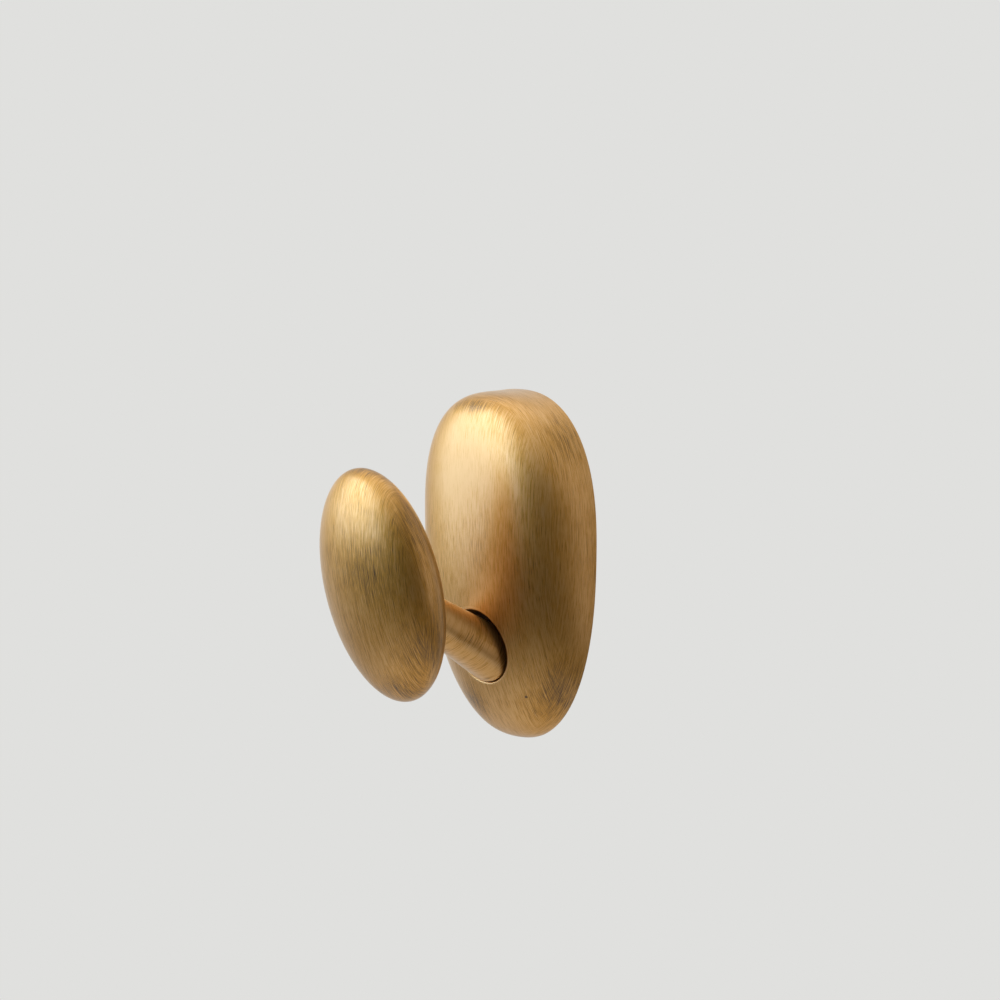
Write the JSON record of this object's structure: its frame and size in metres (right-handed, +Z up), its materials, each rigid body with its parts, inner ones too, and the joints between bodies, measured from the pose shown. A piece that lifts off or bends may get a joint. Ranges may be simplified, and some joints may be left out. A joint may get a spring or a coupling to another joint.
{
  "type": "wall hook",
  "caption": "Wall hook with a pebble-shaped hollow backplate, a rising tapered arm set in a bore, and a leaning oval knob, all in antique brass, hung on a hidden wall bracket.",
  "frame": {"origin": "middle of the backplate's height and width, on the wall plane, at the back of the wall bracket", "axes": "+Z up, +Y into the wall, +X to the right for someone who faces the wall; the knob stands out towards -Y"},
  "size_m": [0.0404, 0.0486, 0.07],
  "materials": {
    "antique_brass": "brushed and darkened",
    "plated_steel": "zinc plated"
  },
  "bodies": {
    "root": {"backplate": "antique_brass", "arm": "antique_brass", "knob": "antique_brass", "arm_screw": "plated_steel", "wall_bracket": "plated_steel"}
  },
  "joints": []
}
